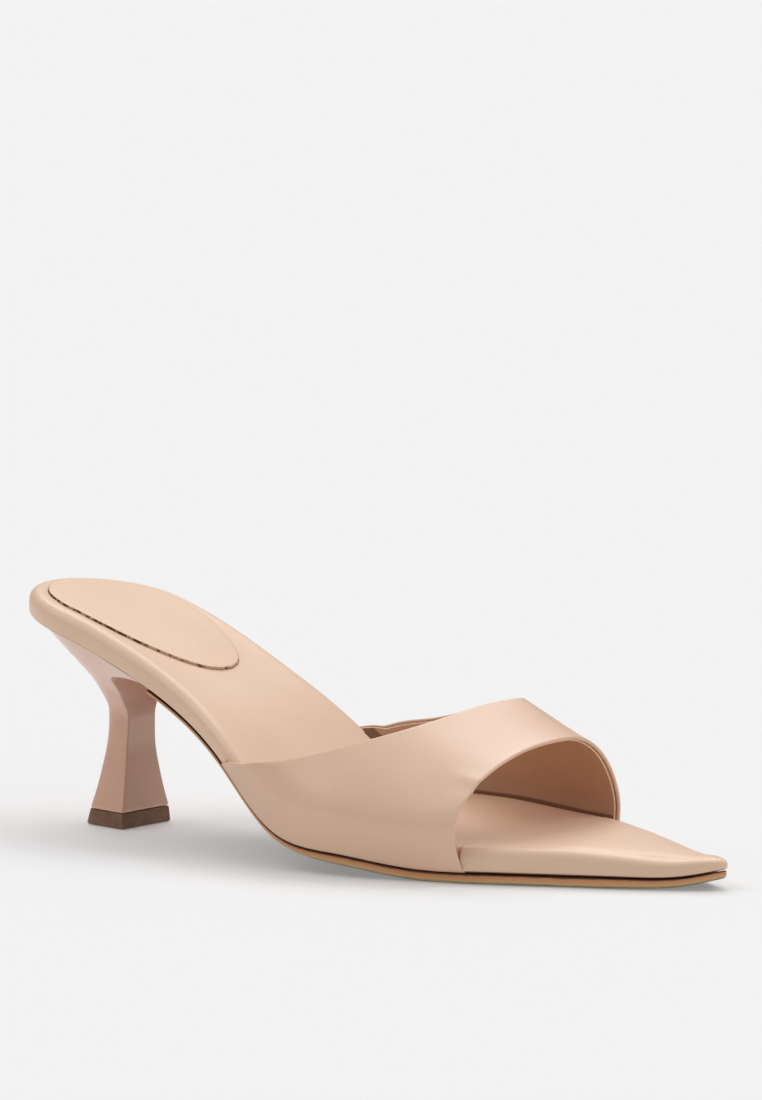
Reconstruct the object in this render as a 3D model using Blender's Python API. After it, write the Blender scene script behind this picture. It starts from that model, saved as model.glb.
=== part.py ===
"""Open-back, open-toe heeled mule: footbed, upper band, heel, top piece, outsole and heel pad."""
import math

import bpy
import numpy as np

# Driving sizes in metres
SECTION_LENGTH = 0.250
SHOE_LENGTH = 0.2530
BALL_WIDTH = 0.083
SEAT_HEIGHT = 0.065
INSTEP_HEIGHT = 0.057
FOOTBED_THICKNESS = 0.0076
TOE_THICKNESS = 0.0048
TOE_THINS_FROM = 0.829
UPPER_WALL = 0.0018
PIECE_GAP = 0.0003
TOP_PIECE_HEIGHT = 0.0050
TOP_PIECE_BACK_FLARE = 0.0014
TOP_PIECE_FRONT_FLARE = 0.0004
TOP_PIECE_SIDE_FLARE = 0.0003
TOP_PIECE_BEVEL = 0.0005
OUTSOLE_THICKNESS = 0.0030
HEEL_PAD_THICKNESS = 0.0009

# Rounded ends of the outline, as shares of the shoe length
HEEL_ROUND = 0.112
TOE_ROUND = 0.0232

# Edge rounding of the footbed and the seat the upper is sunk into
RIM_RADIUS = 0.0035
UNDER_RADIUS = 0.0015
LATERAL_STANDS_OUT = 0.0007
MEDIAL_STANDS_OUT = 0.0015
RECESS_RAMP = 0.0012

# Sole sections: place along the length, half widths as shares of the ball width,
# height of the footbed underside as a share of the seat height
SOLE_COLUMNS = ("at", "lateral", "medial", "rise")
SOLE_SECTIONS = (
    (0.00, 0.311, 0.319, 0.998),
    (0.12, 0.345, 0.342, 0.906),
    (0.20, 0.347, 0.342, 0.795),
    (0.30, 0.372, 0.314, 0.629),
    (0.40, 0.460, 0.307, 0.421),
    (0.50, 0.546, 0.353, 0.162),
    (0.60, 0.549, 0.457, 0.098),
    (0.68, 0.473, 0.523, 0.055),
    (0.76, 0.392, 0.469, 0.0508),
    (0.84, 0.271, 0.338, 0.0508),
    (0.92, 0.150, 0.223, 0.0515),
    (0.97, 0.057, 0.159, 0.0578),
    (1.01, -0.024, 0.097, 0.0919),
)

# Outsole thickness as a share of its named thickness, at places along the length
OUTSOLE_COLUMNS = ("at", "thickness")
OUTSOLE_SECTIONS = (
    (0.25, 0.400),
    (0.50, 0.567),
    (0.60, 0.967),
    (0.90, 1.000),
    (1.01, 0.750),
)
OUTSOLE_START = 0.2525
OUTSOLE_INSET = 0.0003
OUTSOLE_BEVEL = 0.0006
OUTSOLE_TIP = 0.0005
SLOPE_STEP = 0.0012

# Upper sections: height over the footbed as a share of the instep height,
# ridge place and side bulges as shares of the ball width, side fullness
UPPER_COLUMNS = ("at", "height")
UPPER_HEIGHTS = (
    (0.38, 1.092),
    (0.50, 0.930),
    (0.60, 0.741),
    (0.68, 0.629),
    (0.76, 0.481),
    (0.82, 0.407),
)
GIRTH_COLUMNS = ("at", "ridge", "lateral_bulge", "medial_bulge", "lateral_full", "medial_full")
UPPER_GIRTH = (
    (0.40, 0.134, 0.029, 0.041, 2.24, 1.75),
    (0.60, 0.216, 0.042, 0.021, 1.57, 1.39),
    (0.80, 0.145, 0.058, 0.011, 2.18, 1.88),
)
WIDEST_LATERAL = 0.0128
WIDEST_MEDIAL = 0.0101
LOWER_SHARE = 0.22

# Upper edges: girth share from lateral bottom to medial bottom, places along the length
EDGE_COLUMNS = ("girth", "back", "front")
UPPER_EDGES = (
    (0.00, 0.3980, 0.7483),
    (0.15, 0.4854, 0.7497),
    (0.30, 0.6206, 0.7536),
    (0.42, 0.6637, 0.7574),
    (0.52, 0.6743, 0.7625),
    (0.65, 0.6237, 0.7604),
    (0.80, 0.4846, 0.7532),
    (0.92, 0.4145, 0.7515),
    (1.00, 0.3832, 0.7503),
)

# Heel rings: share of the way up to the seat, back and front place as shares of the
# length, half width as a share of the ball width, fullness and taper to the back
HEEL_COLUMNS = ("up", "back", "front", "half_width", "full", "taper", "hollow")
HEEL_RINGS = (
    (0.00, 0.1096, 0.1752, 0.135, 9.0, 0.12, 0.000),
    (0.20, 0.1164, 0.1668, 0.104, 7.0, 0.11, 0.000),
    (0.40, 0.1198, 0.1604, 0.083, 5.5, 0.10, 0.000),
    (0.55, 0.1168, 0.1588, 0.078, 4.5, 0.09, 0.000),
    (0.68, 0.1000, 0.1560, 0.114, 3.4, 0.07, 0.012),
    (0.80, 0.0748, 0.1572, 0.183, 3.0, 0.04, 0.036),
    (0.90, 0.0384, 0.1932, 0.252, 2.6, 0.02, 0.048),
    (1.00, 0.0048, 0.2472, 0.316, 2.5, 0.00, 0.036),
)
HEEL_CENTRE_LOW = -0.0056
HEEL_CENTRE_TOP = -0.0005
HEEL_TURN = math.radians(-4.0)
HEEL_TURN_PLACE = 0.036

# Heel pad: half widths as shares of the ball width along the footbed
PAD_COLUMNS = ("at", "lateral", "medial")
PAD_SECTIONS = (
    (0.022, 0.040, 0.040),
    (0.035, 0.122, 0.125),
    (0.050, 0.181, 0.185),
    (0.075, 0.235, 0.238),
    (0.108, 0.269, 0.270),
    (0.141, 0.271, 0.272),
    (0.176, 0.258, 0.262),
    (0.201, 0.240, 0.243),
    (0.229, 0.206, 0.206),
    (0.253, 0.165, 0.164),
    (0.268, 0.127, 0.126),
    (0.280, 0.077, 0.073),
    (0.285, 0.030, 0.024),
)


def column(table, names, wanted):
    """Values of one named column."""
    place = names.index(wanted)
    return np.array([row[place] for row in table], dtype=float)


def spline(knots, values, where):
    """Natural cubic curve through the table values."""
    count = len(knots)
    step = np.diff(knots)
    matrix = np.zeros((count, count))
    right = np.zeros(count)
    matrix[0, 0] = 1.0
    matrix[-1, -1] = 1.0
    for row in range(1, count - 1):
        matrix[row, row - 1] = step[row - 1]
        matrix[row, row] = 2.0 * (step[row - 1] + step[row])
        matrix[row, row + 1] = step[row]
        rise_after = (values[row + 1] - values[row]) / step[row]
        rise_before = (values[row] - values[row - 1]) / step[row - 1]
        right[row] = 6.0 * (rise_after - rise_before)
    bend = np.linalg.solve(matrix, right)
    where = np.asarray(where, dtype=float)
    cell = np.clip(np.searchsorted(knots, where, side="right") - 1, 0, count - 2)
    width = step[cell]
    low = where - knots[cell]
    high = knots[cell + 1] - where
    curve = bend[cell] * high ** 3 / (6.0 * width) + bend[cell + 1] * low ** 3 / (6.0 * width)
    curve = curve + (values[cell] / width - bend[cell] * width / 6.0) * high
    return curve + (values[cell + 1] / width - bend[cell + 1] * width / 6.0) * low


def even_curve(knots, values, where):
    """Monotone smooth curve through the table values, with no overshoot."""
    step = np.diff(knots)
    slope = np.diff(values) / step
    tangent = np.zeros(len(knots))
    for place in range(1, len(knots) - 1):
        before, after = slope[place - 1], slope[place]
        if before * after > 0.0:
            first = 2.0 * step[place] + step[place - 1]
            second = step[place] + 2.0 * step[place - 1]
            tangent[place] = (first + second) / (first / before + second / after)
    tangent[0] = end_tangent(step[0], step[1], slope[0], slope[1])
    tangent[-1] = end_tangent(step[-1], step[-2], slope[-1], slope[-2])
    where = np.asarray(where, dtype=float)
    cell = np.clip(np.searchsorted(knots, where, side="right") - 1, 0, len(knots) - 2)
    width = step[cell]
    share = (where - knots[cell]) / width
    part_a = (1.0 + 2.0 * share) * (1.0 - share) ** 2 * values[cell]
    part_b = share * (1.0 - share) ** 2 * width * tangent[cell]
    part_c = share ** 2 * (3.0 - 2.0 * share) * values[cell + 1]
    part_d = share ** 2 * (share - 1.0) * width * tangent[cell + 1]
    return part_a + part_b + part_c + part_d


def end_tangent(step_a, step_b, slope_a, slope_b):
    """Three point end slope kept within the shape of the data."""
    tangent = ((2.0 * step_a + step_b) * slope_a - step_a * slope_b) / (step_a + step_b)
    if tangent * slope_a <= 0.0:
        return 0.0
    if slope_a * slope_b < 0.0 and abs(tangent) > 3.0 * abs(slope_a):
        return 3.0 * slope_a
    return tangent


SOLE_AT = column(SOLE_SECTIONS, SOLE_COLUMNS, "at") * SECTION_LENGTH
SOLE_LATERAL = column(SOLE_SECTIONS, SOLE_COLUMNS, "lateral") * BALL_WIDTH
SOLE_MEDIAL = column(SOLE_SECTIONS, SOLE_COLUMNS, "medial") * BALL_WIDTH
SOLE_RISE = column(SOLE_SECTIONS, SOLE_COLUMNS, "rise") * SEAT_HEIGHT


def side_lines(x):
    """Lateral and medial edge of the outline at x."""
    x = np.asarray(x, dtype=float)
    lateral = -spline(SOLE_AT, SOLE_LATERAL, x)
    medial = spline(SOLE_AT, SOLE_MEDIAL, x)
    heel = np.clip(1.0 - x / (HEEL_ROUND * SECTION_LENGTH), 0.0, 1.0)
    toe_long = TOE_ROUND * SECTION_LENGTH
    toe = np.clip((x - SHOE_LENGTH + toe_long) / toe_long, 0.0, 1.0)
    full = np.sqrt(np.clip(1.0 - heel ** 2, 0.0, 1.0)) * np.sqrt(np.clip(1.0 - toe ** 2, 0.0, 1.0))
    centre = 0.5 * (lateral + medial)
    return centre + (lateral - centre) * full, centre + (medial - centre) * full


def seat_line(x):
    """Height of the footbed underside at x."""
    return spline(SOLE_AT, SOLE_RISE, x)


def outsole_thickness(x):
    """Thickness of the outsole at x."""
    at = column(OUTSOLE_SECTIONS, OUTSOLE_COLUMNS, "at") * SECTION_LENGTH
    share = np.interp(x, at, column(OUTSOLE_SECTIONS, OUTSOLE_COLUMNS, "thickness"))
    return OUTSOLE_THICKNESS * share


def outline_ring(stations, inset, height):
    """Closed plan outline from the heel nose along the lateral side and back."""
    lateral, medial = side_lines(stations)
    lateral_girth = LOWER_SHARE * min(height / WIDEST_LATERAL, 1.0) / 2.0
    medial_girth = 1.0 - LOWER_SHARE * min(height / WIDEST_MEDIAL, 1.0) / 2.0
    lateral = lateral + recess_depth(stations, lateral_girth)
    medial = medial - recess_depth(stations, medial_girth)
    near = np.stack([stations, lateral], axis=1)
    far = np.stack([stations, medial], axis=1)[1:-1][::-1]
    ring = np.concatenate([near, far])
    ahead = np.roll(ring, -1, axis=0) - np.roll(ring, 1, axis=0)
    ahead = ahead / np.linalg.norm(ahead, axis=1)[:, None]
    outward = np.stack([ahead[:, 1], -ahead[:, 0]], axis=1)
    return ring - outward * inset


def upper_edges(girth):
    """Back and front place of the upper's edges at a girth share."""
    at = column(UPPER_EDGES, EDGE_COLUMNS, "girth")
    back = spline(at, column(UPPER_EDGES, EDGE_COLUMNS, "back"), girth)
    front = spline(at, column(UPPER_EDGES, EDGE_COLUMNS, "front"), girth)
    return back * SECTION_LENGTH, front * SECTION_LENGTH


def recess_depth(stations, girth):
    """Depth of the side recess in which the upper lies against the footbed."""
    start, end = upper_edges(girth)
    rise = np.clip((stations - start + RECESS_RAMP) / RECESS_RAMP, 0.0, 1.0)
    fall = np.clip((end + RECESS_RAMP - stations) / RECESS_RAMP, 0.0, 1.0)
    stands_out = LATERAL_STANDS_OUT if girth < 0.5 else MEDIAL_STANDS_OUT
    return (UPPER_WALL + PIECE_GAP - stands_out) * np.minimum(rise, fall)


def thinned(places, spacing):
    """Sorted places without any that lie closer than the spacing."""
    kept = [places[0]]
    for place in places[1:]:
        if place - kept[-1] > spacing:
            kept.append(place)
    return kept


def ring_stations(count, extra):
    """Stations along the length, closer together at both ends."""
    turn = np.linspace(0.0, math.pi, count)
    places = (1.0 - np.cos(turn)) / 2.0 * SHOE_LENGTH
    spacing = SHOE_LENGTH / count * 0.35
    keep = [place for place in places if all(abs(place - other) > spacing for other in extra)]
    return np.array(sorted(keep + list(extra)))


def ladder(ring_start, count_stations, across, flip):
    """Faces that fill a ring by strips between paired points and rows of points between."""
    faces = []
    total = 2 * count_stations - 2

    def row(station):
        if station in (0, count_stations - 1):
            return [ring_start + station]
        inner = across[station - 1]
        return [ring_start + station] + list(inner) + [ring_start + total - station]

    for station in range(count_stations - 1):
        here, there = row(station), row(station + 1)
        if len(here) == 1:
            for step in range(len(there) - 1):
                faces.append((here[0], there[step], there[step + 1]))
        elif len(there) == 1:
            for step in range(len(here) - 1):
                faces.append((here[step], there[0], here[step + 1]))
        else:
            for step in range(len(here) - 1):
                faces.append((here[step], there[step], there[step + 1], here[step + 1]))
    if flip:
        faces = [tuple(reversed(face)) for face in faces]
    return faces


def plate(rings, stations, across_count, top_height, bottom_height):
    """Solid plate from stacked rings, filled below the first and above the last ring."""
    points = [point for ring in rings for point in ring]
    total = len(rings[0])
    faces = []
    for level in range(len(rings) - 1):
        for step in range(total):
            after = (step + 1) % total
            low, high = level * total, (level + 1) * total
            faces.append((low + step, low + after, high + after, high + step))
    count = len(stations)
    for level, height, flip in ((0, bottom_height, True), (len(rings) - 1, top_height, False)):
        start = level * total
        across = []
        for station in range(1, count - 1):
            one = np.array(points[start + station])
            two = np.array(points[start + total - station])
            ids = []
            for step in range(1, across_count + 1):
                share = step / (across_count + 1.0)
                place = one + (two - one) * share
                ids.append(len(points))
                points.append((place[0], place[1], height(place[0], place[1], share)))
            across.append(ids)
        faces.extend(ladder(start, count, across, flip))
    return points, faces


def footbed_thickness(x):
    """Thickness of the footbed at x, thinner at the toe."""
    share = np.clip((x / SECTION_LENGTH - TOE_THINS_FROM) / (1.0 - TOE_THINS_FROM), 0.0, 1.0)
    ease = share * share * (3.0 - 2.0 * share)
    return FOOTBED_THICKNESS + (TOE_THICKNESS - FOOTBED_THICKNESS) * ease


def footbed_top(x):
    """Height of the footbed upper face at x."""
    return seat_line(x) + footbed_thickness(x)


def footbed_mesh():
    """Padded footbed with a rounded rim, sunk at the sides under the upper."""
    extra = []
    for low_girth, high_girth in ((0.0, 0.06), (1.0, 0.93)):
        for girth in (low_girth, high_girth):
            back, front = upper_edges(girth)
            extra.extend((float(back) - RECESS_RAMP, float(back)))
            extra.extend((float(front), float(front) + RECESS_RAMP))
    extra.extend(np.linspace(0.390, 0.430, 8) * SECTION_LENGTH)
    extra = thinned(sorted(extra), 0.0005)
    stations = ring_stations(64, extra)
    rings = []
    profile = []
    for turn in (0.0, 45.0, 90.0):
        angle = math.radians(turn)
        drop = UNDER_RADIUS
        profile.append((drop - drop * math.sin(angle), drop - drop * math.cos(angle)))
    for turn in (0.0, 30.0, 60.0, 90.0):
        angle = math.radians(turn)
        inset = RIM_RADIUS - RIM_RADIUS * math.cos(angle)
        profile.append((inset, FOOTBED_THICKNESS - RIM_RADIUS + RIM_RADIUS * math.sin(angle)))
    for inset, height in profile:
        ring = outline_ring(stations, inset, height)
        lift = seat_line(ring[:, 0]) + height * footbed_thickness(ring[:, 0]) / FOOTBED_THICKNESS
        rings.append([(x, y, z) for (x, y), z in zip(ring, lift)])
    return plate(
        rings,
        stations,
        3,
        lambda x, y, share: float(footbed_top(x)),
        lambda x, y, share: float(seat_line(x)),
    )


def outsole_mesh():
    """Thin outsole from the heel breast to the toe, flat under the ball."""
    start = OUTSOLE_START * SECTION_LENGTH
    turn = np.linspace(0.0, math.pi, 52)
    stations = start + (1.0 - np.cos(turn)) / 2.0 * (SHOE_LENGTH - start)
    stations = stations[:-1]
    lateral, medial = side_lines(stations)
    top = seat_line(stations) - PIECE_GAP
    low = np.maximum(top - outsole_thickness(stations), 0.0)
    bevel = OUTSOLE_BEVEL
    sections = []
    for x, one, two, high, under in zip(stations, lateral, medial, top, low):
        one = one + OUTSOLE_INSET
        two = two - OUTSOLE_INSET
        middle = 0.5 * (one + two)
        bevel_here = min(bevel, 0.3 * (two - one))
        section = [
            (one + bevel_here, under),
            (middle, under),
            (two - bevel_here, under),
            (two, under + bevel),
            (two, high),
            (0.5 * (two + middle), high),
            (middle, high),
            (0.5 * (one + middle), high),
            (one, high),
            (one, under + bevel),
        ]
        sections.append([(x, y, z) for y, z in section])
    toe_x = SHOE_LENGTH - OUTSOLE_INSET
    toe_high = float(seat_line(toe_x)) - PIECE_GAP
    toe_low = toe_high - float(outsole_thickness(toe_x))
    centre = float(sum(side_lines(toe_x)) / 2.0)
    half = OUTSOLE_TIP
    toe = [
        (centre - half, toe_low), (centre, toe_low), (centre + half, toe_low),
        (centre + half * 1.4, toe_low + bevel), (centre + half * 1.4, toe_high),
        (centre + half * 0.7, toe_high), (centre, toe_high), (centre - half * 0.7, toe_high),
        (centre - half * 1.4, toe_high), (centre - half * 1.4, toe_low + bevel),
    ]
    sections.append([(toe_x, y, z) for y, z in toe])
    return loft(sections, True)


def loft(sections, end_fan):
    """Solid through closed sections, both ends closed."""
    points = [point for section in sections for point in section]
    total = len(sections[0])
    faces = []
    for level in range(len(sections) - 1):
        for step in range(total):
            after = (step + 1) % total
            low, high = level * total, (level + 1) * total
            faces.append((low + step, low + after, high + after, high + step))
    last = (len(sections) - 1) * total
    if end_fan:
        for start, flip in ((0, True), (last, False)):
            for step in range(total // 2 - 1):
                face = (start + step, start + step + 1, start + total - step - 2, start + total - step - 1)
                faces.append(tuple(reversed(face)) if flip else face)
    return points, faces


def upper_point(x, girth):
    """Point of the outer face of the upper at place x and girth share."""
    at = column(UPPER_HEIGHTS, UPPER_COLUMNS, "at") * SECTION_LENGTH
    heights = column(UPPER_HEIGHTS, UPPER_COLUMNS, "height") * INSTEP_HEIGHT
    girth_at = column(UPPER_GIRTH, GIRTH_COLUMNS, "at") * SECTION_LENGTH
    held = min(max(x, girth_at[0]), girth_at[-1])
    values = [
        float(even_curve(girth_at, column(UPPER_GIRTH, GIRTH_COLUMNS, name), held))
        for name in GIRTH_COLUMNS[1:]
    ]
    ridge = values[0] * BALL_WIDTH
    lateral, medial = side_lines(x)
    low = float(seat_line(x))
    crown = low + FOOTBED_THICKNESS + float(even_curve(at, heights, x))
    if girth > 0.5:
        share, full = (1.0 - girth) * 2.0, values[4]
        foot = float(medial) + MEDIAL_STANDS_OUT
        side = foot + values[2] * BALL_WIDTH
        widest = low + WIDEST_MEDIAL
    else:
        share, full = girth * 2.0, values[3]
        foot = float(lateral) - LATERAL_STANDS_OUT
        side = foot - values[1] * BALL_WIDTH
        widest = low + WIDEST_LATERAL
    if share <= LOWER_SHARE:
        part = share / LOWER_SHARE
        return (x, foot + (side - foot) * math.sin(part * math.pi / 2.0), low + (widest - low) * part)
    turn = (share - LOWER_SHARE) / (1.0 - LOWER_SHARE) * math.pi / 2.0
    out = abs(math.cos(turn)) ** (2.0 / full)
    lift = math.sin(turn) ** (2.0 / full)
    return (x, ridge + (side - ridge) * out, widest + (crown - widest) * lift)


def upper_mesh():
    """Hollow upper band: outer face, inner face one wall further in, and its cut edges."""
    girths = np.linspace(0.0, 1.0, 49)
    shares = np.linspace(0.0, 1.0, 17)
    back, front = upper_edges(girths)
    outer = np.zeros((len(girths), len(shares), 3))
    inner = np.zeros((len(girths), len(shares), 3))
    reach = SLOPE_STEP
    for i, girth in enumerate(girths):
        for j, share in enumerate(shares):
            x = back[i] + (front[i] - back[i]) * share
            here = np.array(upper_point(x, girth))
            along = np.array(upper_point(x + reach, girth)) - np.array(upper_point(x - reach, girth))
            small = 0.004
            ahead = np.array(upper_point(x, min(girth + small, 1.0)))
            behind = np.array(upper_point(x, max(girth - small, 0.0)))
            normal = np.cross(along, ahead - behind)
            normal = normal / np.linalg.norm(normal)
            outer[i, j] = here
            inner[i, j] = here - normal * UPPER_WALL
            if i in (0, len(girths) - 1):
                inner[i, j, 2] = here[2]
    points = [tuple(p) for p in outer.reshape(-1, 3)] + [tuple(p) for p in inner.reshape(-1, 3)]
    rows, cols = len(girths), len(shares)
    skip = rows * cols
    faces = []
    for i in range(rows - 1):
        for j in range(cols - 1):
            a, b = i * cols + j, i * cols + j + 1
            c, d = a + cols, b + cols
            faces.append((a, b, d, c))
            faces.append((a + skip, c + skip, d + skip, b + skip))
    for i in range(rows - 1):
        a, c = i * cols, (i + 1) * cols
        faces.append((a, c, c + skip, a + skip))
        b, d = a + cols - 1, c + cols - 1
        faces.append((b, b + skip, d + skip, d))
    for j in range(cols - 1):
        a, b = j, j + 1
        faces.append((a, a + skip, b + skip, b))
        c, d = (rows - 1) * cols + j, (rows - 1) * cols + j + 1
        faces.append((c, d, d + skip, c + skip))
    return points, faces


def heel_ring(up, low_height, top_gap):
    """One ring of the heel, with corners at the breast and a rounded back."""
    ups = column(HEEL_RINGS, HEEL_COLUMNS, "up")
    back, front, half, full, taper, hollow = [
        float(even_curve(ups, column(HEEL_RINGS, HEEL_COLUMNS, name), up)) for name in HEEL_COLUMNS[1:]
    ]
    back = back * SECTION_LENGTH
    front = front * SECTION_LENGTH
    half = half * BALL_WIDTH
    hollow = hollow * BALL_WIDTH
    centre = HEEL_CENTRE_LOW + (HEEL_CENTRE_TOP - HEEL_CENTRE_LOW) * up
    ring = []
    turns = np.radians(np.concatenate([[-90.0, -88.0], np.linspace(-84.0, 84.0, 33), [88.0, 90.0]]))
    plan = []
    for turn in turns:
        out = abs(math.cos(turn)) ** (2.0 / full)
        side = math.copysign(abs(math.sin(turn)) ** (2.0 / full), math.sin(turn))
        plan.append((front - (front - back) * out, half * side * (1.0 - taper * out)))
    for share in (0.75, 0.5, 0.25, 0.0, -0.25, -0.5, -0.75):
        plan.append((front - hollow * (1.0 - share ** 2), half * share))
    for x, y in plan:
        turned = y + centre + math.tan(HEEL_TURN) * (x - HEEL_TURN_PLACE) * (1.0 - up)
        top = float(seat_line(x)) - top_gap
        ring.append((x, turned, low_height + up * (top - low_height)))
    return ring


def heel_solid(ups, low_height, top_gap):
    """Closed solid through heel rings."""
    sections = [heel_ring(up, low_height, top_gap) for up in ups]
    points = [point for section in sections for point in section]
    total = len(sections[0])
    faces = []
    for level in range(len(sections) - 1):
        for step in range(total):
            after = (step + 1) % total
            low, high = level * total, (level + 1) * total
            faces.append((low + step, high + step, high + after, low + after))
    for start, flip in ((0, False), ((len(sections) - 1) * total, True)):
        faces.extend(ring_cap(points, start, total, flip))
    return points, faces


def ring_cap(points, start, total, flip):
    """Fan that closes a ring about its middle point."""
    ring = np.array(points[start:start + total])
    points.append(tuple(ring.mean(axis=0)))
    hub = len(points) - 1
    faces = []
    for step in range(total):
        face = (start + step, start + (step + 1) % total, hub)
        faces.append(tuple(reversed(face)) if flip else face)
    return faces


def top_piece_mesh():
    """Flat top piece under the heel."""
    points, faces = [], []
    base = np.array(heel_ring(0.0, 0.0, 0.0))
    low, high = base.min(axis=0), base.max(axis=0)
    middle = (low + high) / 2.0
    height = TOP_PIECE_HEIGHT - PIECE_GAP
    levels = ((0.0, 1.0, TOP_PIECE_BEVEL), (TOP_PIECE_BEVEL, 1.0, 0.0), (height, 0.0, 0.0))
    total = len(base)
    for level, flare, inset in levels:
        for x, y, z in base:
            ahead = (x - low[0]) / (high[0] - low[0])
            aside = (y - middle[1]) / (high[1] - middle[1])
            grown_x = x + flare * (ahead * TOP_PIECE_FRONT_FLARE - (1.0 - ahead) * TOP_PIECE_BACK_FLARE)
            grown_y = y + flare * aside * TOP_PIECE_SIDE_FLARE
            points.append((grown_x - inset * (2.0 * ahead - 1.0), grown_y - inset * aside, level))
    for level in range(len(levels) - 1):
        for step in range(total):
            after = (step + 1) % total
            low, high = level * total, (level + 1) * total
            faces.append((low + step, high + step, high + after, low + after))
    for start, flip in ((0, False), ((len(levels) - 1) * total, True)):
        faces.extend(ring_cap(points, start, total, flip))
    return points, faces


def heel_pad_mesh():
    """Thin pad glued on the heel part of the footbed."""
    at = column(PAD_SECTIONS, PAD_COLUMNS, "at") * SECTION_LENGTH
    lateral_at = column(PAD_SECTIONS, PAD_COLUMNS, "lateral") * BALL_WIDTH
    medial_at = column(PAD_SECTIONS, PAD_COLUMNS, "medial") * BALL_WIDTH
    turn = np.linspace(0.0, math.pi, 26)
    places = at[0] + (1.0 - np.cos(turn)) / 2.0 * (at[-1] - at[0])
    lateral = -even_curve(at, lateral_at, places)
    medial = even_curve(at, medial_at, places)
    rings = []
    total = len(places)
    for height in (PIECE_GAP, PIECE_GAP + HEEL_PAD_THICKNESS):
        ring = []
        for i in range(total):
            ring.append((places[i], lateral[i], float(footbed_top(places[i])) + height))
        for i in range(total - 1, -1, -1):
            ring.append((places[i], medial[i], float(footbed_top(places[i])) + height))
        rings.append(ring)
    points = [point for ring in rings for point in ring]
    around = 2 * total
    faces = []
    for step in range(around):
        after = (step + 1) % around
        faces.append((step, after, around + after, around + step))
    for start, flip in ((0, True), (around, False)):
        for i in range(total - 1):
            face = (start + i, start + i + 1, start + around - i - 2, start + around - i - 1)
            faces.append(tuple(reversed(face)) if flip else face)
    return points, faces


def make_material(name, colour, roughness, coat):
    """Plain surface of one piece."""
    material = bpy.data.materials.new(name)
    material.use_nodes = True
    shader = material.node_tree.nodes["Principled BSDF"]
    shader.inputs["Base Color"].default_value = colour + (1.0,)
    shader.inputs["Roughness"].default_value = roughness
    shader.inputs["Coat Weight"].default_value = coat
    return material


def make_object(name, mesh_data, material, move):
    """Object from points and faces, moved to the shared frame."""
    points, faces = mesh_data
    mesh = bpy.data.meshes.new(name)
    shifted = [(x + move[0], y + move[1], z + move[2]) for x, y, z in points]
    mesh.from_pydata(shifted, [], faces)
    mesh.materials.append(material)
    mesh.validate()
    mesh.update()
    for polygon in mesh.polygons:
        polygon.use_smooth = False
    item = bpy.data.objects.new(name, mesh)
    bpy.context.scene.collection.objects.link(item)
    return item


def build():
    """Make every piece and centre the shoe on its bounding box."""
    for item in list(bpy.data.objects):
        bpy.data.objects.remove(item, do_unlink=True)
    heel_ups = (0.0, 0.1, 0.2, 0.3, 0.4, 0.475, 0.55, 0.615, 0.68, 0.74, 0.80, 0.85, 0.90, 0.95, 0.98, 1.0)
    pieces = {
        "outsole": outsole_mesh(),
        "footbed": footbed_mesh(),
        "heel_pad": heel_pad_mesh(),
        "heel": heel_solid(heel_ups, TOP_PIECE_HEIGHT, PIECE_GAP),
        "top_piece": top_piece_mesh(),
        "upper": upper_mesh(),
    }
    looks = {
        "outsole": ("outsole_edge", (0.33, 0.16, 0.08), 0.5, 0.0),
        "footbed": ("footbed_leather", (0.72, 0.50, 0.38), 0.45, 0.1),
        "heel_pad": ("heel_pad_leather", (0.72, 0.50, 0.38), 0.5, 0.0),
        "heel": ("heel_cover", (0.45, 0.26, 0.19), 0.35, 0.2),
        "top_piece": ("top_piece_rubber", (0.10, 0.045, 0.02), 0.5, 0.0),
        "upper": ("upper_leather", (0.60, 0.38, 0.28), 0.4, 0.1),
    }
    everything = np.array([point for points, faces in pieces.values() for point in points])
    low, high = everything.min(axis=0), everything.max(axis=0)
    move = (-(low[0] + high[0]) / 2.0, -(low[1] + high[1]) / 2.0, -low[2])
    for name, mesh_data in pieces.items():
        slot, colour, roughness, coat = looks[name]
        make_object(name, mesh_data, make_material(slot, colour, roughness, coat), move)


build()
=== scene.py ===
"""Looks of the open-back heeled mule: leather, lining, edges, light and camera."""
import math

import bpy
import numpy as np
from mathutils import Matrix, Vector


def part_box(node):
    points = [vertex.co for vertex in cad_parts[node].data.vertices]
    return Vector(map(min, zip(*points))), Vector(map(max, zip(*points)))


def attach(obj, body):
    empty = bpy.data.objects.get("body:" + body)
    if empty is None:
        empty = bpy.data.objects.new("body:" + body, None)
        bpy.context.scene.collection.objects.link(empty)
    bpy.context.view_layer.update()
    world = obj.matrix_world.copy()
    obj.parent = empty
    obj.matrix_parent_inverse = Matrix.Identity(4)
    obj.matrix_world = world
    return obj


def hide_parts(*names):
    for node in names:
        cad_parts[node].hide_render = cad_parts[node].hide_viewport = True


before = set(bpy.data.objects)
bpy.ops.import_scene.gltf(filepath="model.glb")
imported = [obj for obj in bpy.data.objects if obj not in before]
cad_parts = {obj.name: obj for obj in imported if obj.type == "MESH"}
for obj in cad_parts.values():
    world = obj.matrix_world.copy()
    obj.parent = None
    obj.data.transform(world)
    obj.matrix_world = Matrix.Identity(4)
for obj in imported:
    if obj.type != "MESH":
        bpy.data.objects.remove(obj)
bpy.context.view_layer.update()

# Sizes of the solids, in metres
SECTION_LENGTH = 0.250
SHOE_LENGTH = 0.2530
BALL_WIDTH = 0.083
SEAT_HEIGHT = 0.065
INSTEP_HEIGHT = 0.057
FOOTBED_THICKNESS = 0.0076
TOE_THICKNESS = 0.0048
TOE_THINS_FROM = 0.829
UPPER_WALL = 0.0018
PIECE_GAP = 0.0003
TOP_PIECE_HEIGHT = 0.0050
TOP_PIECE_BACK_FLARE = 0.0014
TOP_PIECE_FRONT_FLARE = 0.0004
TOP_PIECE_SIDE_FLARE = 0.0003
OUTSOLE_THICKNESS = 0.0030
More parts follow.
